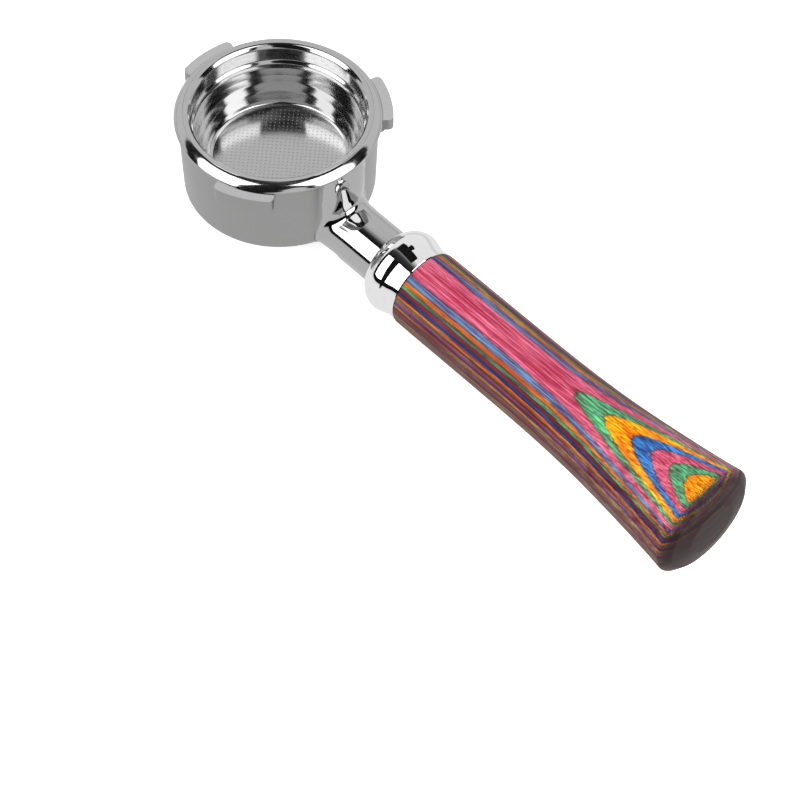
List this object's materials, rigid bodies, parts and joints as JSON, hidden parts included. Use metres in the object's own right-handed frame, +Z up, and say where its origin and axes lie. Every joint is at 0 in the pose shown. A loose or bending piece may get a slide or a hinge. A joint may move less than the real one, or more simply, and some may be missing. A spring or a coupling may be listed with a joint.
{
  "type": "portafilter",
  "caption": "Bottomless espresso portafilter: open steel head with bayonet lugs, lift-out filter basket, polished neck and ferrule, flared laminated wood handle.",
  "frame": {"origin": "centre of the basket floor's top face, on the axis of the head", "axes": "+Z up the axis of the head towards its rim, +X from the head along the handle to its butt"},
  "size_m": [0.2063, 0.0638, 0.0425],
  "materials": {
    "satin_steel": "satin stainless steel",
    "polished_chrome": "mirror polished",
    "ferrule_chrome": "mirror polished",
    "basket_steel": "bright pressed stainless sheet",
    "spring_wire": "drawn spring wire",
    "laminated_wood": "dyed veneer layers under gloss lacquer",
    "zinc_steel": "zinc plated",
    "brass": "turned brass"
  },
  "bodies": {
    "holder": {"head_ring": "satin_steel", "lug_left": "satin_steel", "lug_right": "satin_steel", "lug_back": "satin_steel", "neck": "polished_chrome", "ferrule": "ferrule_chrome", "wood_handle": "laminated_wood", "handle_stud": "zinc_steel", "stud_insert": "brass", "lock_washer": "zinc_steel"},
    "clip": {"basket_clip": "spring_wire"},
    "basket": {"filter_basket": "basket_steel"}
  },
  "joints": [
    {"name": "basket_turn", "type": "hinge", "parent": "holder", "child": "clip", "pos_m": [0, 0, 0.012], "axis": [0, 0, 1], "continuous": true},
    {"name": "basket_lift", "type": "slide", "parent": "clip", "child": "basket", "axis": [0, 0, 1], "range_m": [0, 0.032]}
  ]
}
